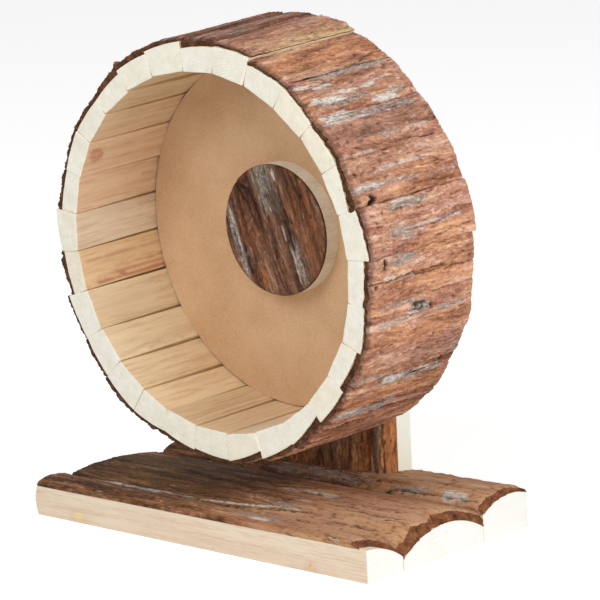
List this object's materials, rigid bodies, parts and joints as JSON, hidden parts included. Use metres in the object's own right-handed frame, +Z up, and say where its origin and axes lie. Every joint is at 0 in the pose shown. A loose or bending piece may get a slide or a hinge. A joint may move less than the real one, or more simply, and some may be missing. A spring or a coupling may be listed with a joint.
{
  "type": "rodent exercise wheel",
  "caption": "Wooden exercise wheel for rodents: a deep drum of bark-faced staves, open in front, turns on a ball-bearing axle before a bark-faced post on a half-log base.",
  "frame": {"origin": "centre of the base's underside, on the floor", "axes": "+Z up, X along the base, +Y from the drum's open front to the post; the axle lies along Y"},
  "size_m": [0.241, 0.1354, 0.2745],
  "materials": {
    "pine": "sawn, untreated",
    "bark": "rough natural bark",
    "fibreboard": "plain fibreboard",
    "steel": "zinc plated"
  },
  "bodies": {
    "stand": {"base_plank_front": "pine", "base_plank_middle": "pine", "base_plank_rear": "pine", "base_bark_front": "bark", "base_bark_middle": "bark", "base_bark_rear": "bark", "post_board_wide": "pine", "post_board_narrow": "pine", "post_bark_wide": "bark", "post_bark_narrow": "bark", "base_staples": "steel", "post_screws": "steel", "axle_bolt": "steel", "axle_washers": "steel", "axle_nut": "steel", "axle_spacer": "steel", "bearing_sleeve": "steel", "front_bearing_inner_ring": "steel", "rear_bearing_inner_ring": "steel"},
    "wheel": {"stave_01": "pine", "stave_02": "pine", "stave_03": "pine", "stave_04": "pine", "stave_05": "pine", "stave_06": "pine", "stave_07": "pine", "stave_08": "pine", "stave_09": "pine", "stave_10": "pine", "stave_11": "pine", "stave_12": "pine", "stave_13": "pine", "stave_14": "pine", "stave_15": "pine", "stave_16": "pine", "stave_17": "pine", "stave_18": "pine", "stave_19": "pine", "stave_20": "pine", "stave_21": "pine", "stave_22": "pine", "stave_23": "pine", "stave_24": "pine", "stave_25": "pine", "stave_26": "pine", "stave_27": "pine", "stave_28": "pine", "stave_bark": "bark", "back_disc": "fibreboard", "hub_cover": "pine", "hub_cover_bark": "bark", "hub_block": "pine", "stave_brads": "steel", "hub_screws": "steel", "front_bearing_outer_ring": "steel", "rear_bearing_outer_ring": "steel", "bearing_shields": "steel"},
    "ball_cages": {"bearing_balls": "steel", "bearing_cages": "steel"}
  },
  "joints": [
    {"name": "wheel_spin", "type": "hinge", "parent": "stand", "child": "wheel", "pos_m": [0, 0, 0.1587], "axis": [0, 1, 0], "continuous": true},
    {"name": "cage_orbit", "type": "hinge", "parent": "stand", "child": "ball_cages", "pos_m": [0, 0, 0.1587], "axis": [0, 1, 0], "continuous": true}
  ],
  "couplings": [
    {"joint": "cage_orbit", "follows": "wheel_spin", "ratio": 0.63056}
  ]
}
